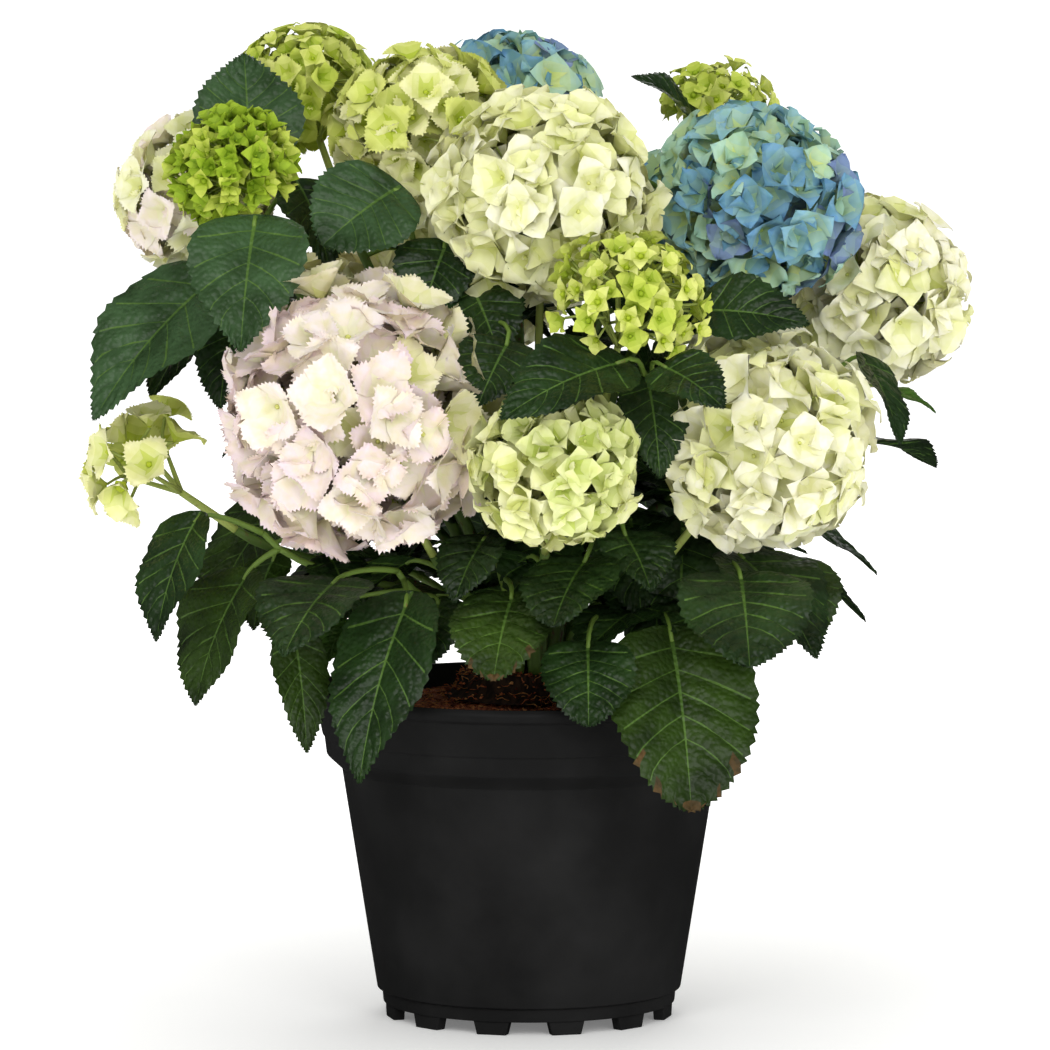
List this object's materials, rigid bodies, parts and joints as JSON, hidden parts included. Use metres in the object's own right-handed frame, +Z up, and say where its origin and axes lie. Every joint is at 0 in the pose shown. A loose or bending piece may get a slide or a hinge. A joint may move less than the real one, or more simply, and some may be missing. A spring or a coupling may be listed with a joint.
{
  "type": "potted hydrangea shrub",
  "caption": "Mophead hydrangea in a round nursery pot: upright canes, broad toothed leaves and domed flower heads in white, blush, blue and lime.",
  "frame": {"origin": "on the level that the pot's feet stand on, under the middle of the plant", "axes": "+Z up along the pot's axis, -Y towards the front of the plant, +X to the right seen from the front"},
  "size_m": [0.4765, 0.3849, 0.5207],
  "materials": {
    "pot_plastic": "satin",
    "compost": "matte",
    "old_wood": "matte",
    "cane_bark": "satin",
    "leaf": "satin",
    "ivory_sepals": "matte",
    "blush_sepals": "matte",
    "jade_sepals": "matte",
    "sky_sepals": "matte",
    "lime_sepals": "matte",
    "green_buds": "matte"
  },
  "bodies": {
    "root": {"pot": "pot_plastic", "compost": "compost", "stock": "old_wood", "cane_blush_front": "cane_bark", "cane_jade_front": "cane_bark", "cane_cream_crown": "cane_bark", "cane_sky_right": "cane_bark", "cane_ivory_right": "cane_bark", "cane_ivory_front": "cane_bark", "cane_ivory_left": "cane_bark", "cane_sky_back": "cane_bark", "cane_cream_rear": "cane_bark", "cane_sky_rear": "cane_bark", "cane_blush_rear": "cane_bark", "cane_ivory_rear": "cane_bark", "cane_lime_crown": "cane_bark", "cane_lime_back": "cane_bark", "cane_green_left": "cane_bark", "cane_lime_centre": "cane_bark", "cane_lime_right": "cane_bark", "cane_side_left": "cane_bark", "cane_left_high": "cane_bark", "cane_crown": "cane_bark", "cane_centre": "cane_bark", "cane_top_right": "cane_bark", "cane_right_high": "cane_bark", "leaves_left_high": "leaf", "leaves_crown": "leaf", "leaves_centre": "leaf", "leaves_top_right": "leaf", "leaves_right_high": "leaf", "leaves_left_low": "leaf", "leaves_rim_left": "leaf", "leaves_rim_front": "leaf", "leaves_rim_right": "leaf", "leaves_side_left": "leaf", "leaves_rear_left": "leaf", "leaves_rear": "leaf", "leaves_rear_right": "leaf", "head_blush_front": "blush_sepals", "head_jade_front": "jade_sepals", "head_cream_crown": "ivory_sepals", "head_sky_right": "sky_sepals", "head_ivory_right": "ivory_sepals", "head_ivory_front": "ivory_sepals", "head_ivory_left": "ivory_sepals", "head_sky_back": "sky_sepals", "head_cream_rear": "ivory_sepals", "head_sky_rear": "sky_sepals", "head_blush_rear": "blush_sepals", "head_ivory_rear": "ivory_sepals", "head_lime_crown": "lime_sepals", "head_lime_back": "lime_sepals", "head_green_left": "green_buds", "head_lime_centre": "lime_sepals", "head_lime_right": "lime_sepals", "head_side_left": "jade_sepals"}
  },
  "joints": []
}
